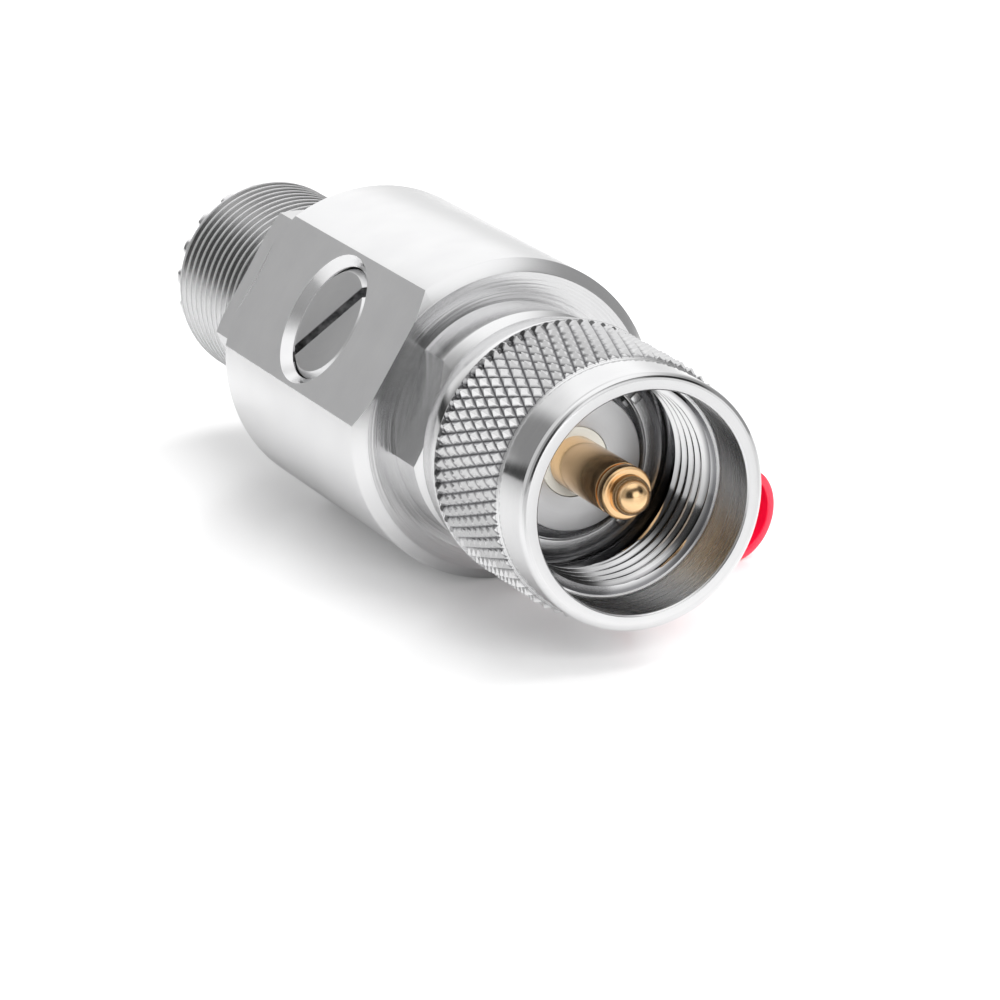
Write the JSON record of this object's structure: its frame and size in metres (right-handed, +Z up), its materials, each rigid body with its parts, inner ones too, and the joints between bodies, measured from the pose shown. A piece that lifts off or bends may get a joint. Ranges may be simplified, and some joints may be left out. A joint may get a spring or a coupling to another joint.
{
  "type": "coax lightning arrestor",
  "caption": "In-line coaxial lightning arrestor: knurled plug nut on one end, threaded socket on the other, gas tube under a slotted cap, ring terminal for the ground wire.",
  "frame": {"origin": "on the connector's axis, in the plane of the plug's flange face, where a socket's rim seats", "axes": "+X along the connector towards the plug, +Z up as it lies, +Y to the right as seen from the plug with Z up"},
  "size_m": [0.07, 0.0331, 0.0244],
  "materials": {
    "nickel_body": "bright nickel plate on brass, turned",
    "nickel_shell": "nickel plate on brass, turned and milled",
    "nickel_nut": "bright nickel plate on brass, knurled",
    "nickel_cap": "bright nickel plate on brass, turned face",
    "gold_plate": "gold plate, polished",
    "plain_brass": "turned brass",
    "spring_steel": "bare spring steel",
    "white_insulator": "white fluoropolymer, satin",
    "tube_ceramic": "unglazed ceramic",
    "tube_electrode": "tinned electrode",
    "black_rubber": "matt rubber",
    "zinc_screw": "zinc plate, bright",
    "tinned_copper": "tin plate on copper",
    "red_vinyl": "glossy red vinyl"
  },
  "bodies": {
    "housing": {"body_housing": "nickel_body", "plug_shell": "nickel_shell", "centre_pin": "gold_plate", "plug_insulator": "white_insulator", "contact_block": "plain_brass", "socket_contact": "gold_plate", "socket_insulator": "white_insulator", "gas_tube_ceramic": "tube_ceramic", "gas_tube_inner_electrode": "tube_electrode", "gas_tube_outer_electrode": "tube_electrode", "shell_o_ring": "black_rubber", "ground_screw": "zinc_screw", "lock_washer": "zinc_screw", "flat_washer": "zinc_screw", "tooth_washer": "zinc_screw", "ring_terminal": "tinned_copper", "terminal_sleeve": "red_vinyl"},
    "nut_ring": {"nut_snap_ring": "spring_steel"},
    "nut": {"coupling_nut": "nickel_nut"},
    "cap_lift": {"contact_spring": "spring_steel"},
    "cap": {"gas_tube_cap": "nickel_cap", "cap_o_ring": "black_rubber"}
  },
  "joints": [
    {"name": "nut_float", "type": "slide", "parent": "housing", "child": "nut_ring", "axis": [1, 0, 0], "range_m": [-0.00085, 0.0007]},
    {"name": "nut_turn", "type": "hinge", "parent": "nut_ring", "child": "nut", "pos_m": [0, 0, 0], "axis": [1, 0, 0], "continuous": true},
    {"name": "cap_turn", "type": "hinge", "parent": "cap_lift", "child": "cap", "pos_m": [-0.0234, 0, 0], "axis": [0, -0.8508, 0.5255], "range_deg": [0, 1805]},
    {"name": "cap_rise", "type": "slide", "parent": "housing", "child": "cap_lift", "axis": [0, -0.8508, 0.5255], "range_m": [0, 0.00375]}
  ],
  "couplings": [
    {"joint": "cap_turn", "follows": "cap_rise", "rad_per_m": 8377.6}
  ]
}
